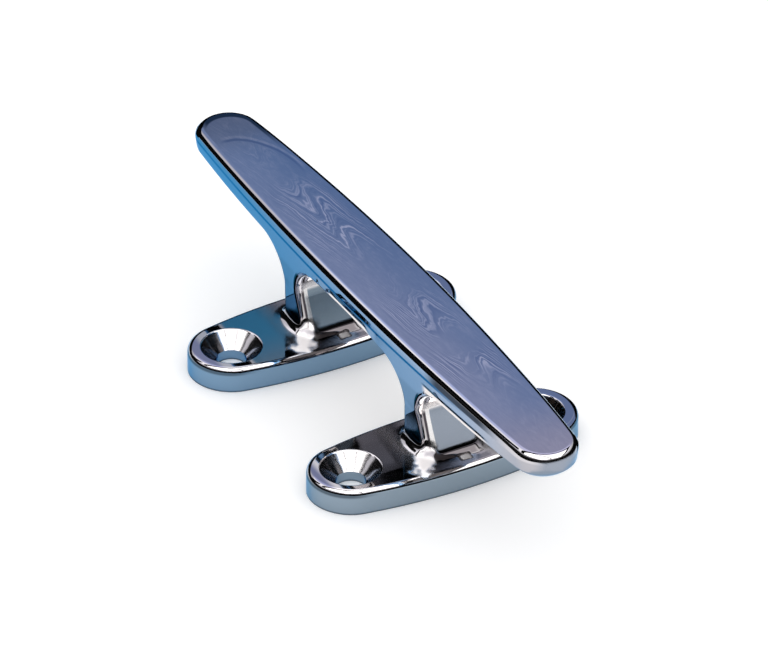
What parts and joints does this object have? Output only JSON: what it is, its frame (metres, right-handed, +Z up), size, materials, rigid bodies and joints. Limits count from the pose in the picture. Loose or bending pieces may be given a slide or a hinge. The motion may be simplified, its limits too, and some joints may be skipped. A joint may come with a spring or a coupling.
{
  "type": "boat cleat",
  "caption": "Polished open-base mooring cleat: a long two-horned bar on two short legs that stand on cross feet with countersunk screw holes.",
  "frame": {"origin": "on the deck plane, at the middle of the cleat's plan", "axes": "+X along the bar towards one horn, +Y along the feet, +Z up from the deck"},
  "size_m": [0.2, 0.0842, 0.0422],
  "materials": {
    "polished_steel": "mirror polished stainless steel"
  },
  "bodies": {
    "root": {"cleat_body": "polished_steel"}
  },
  "joints": []
}
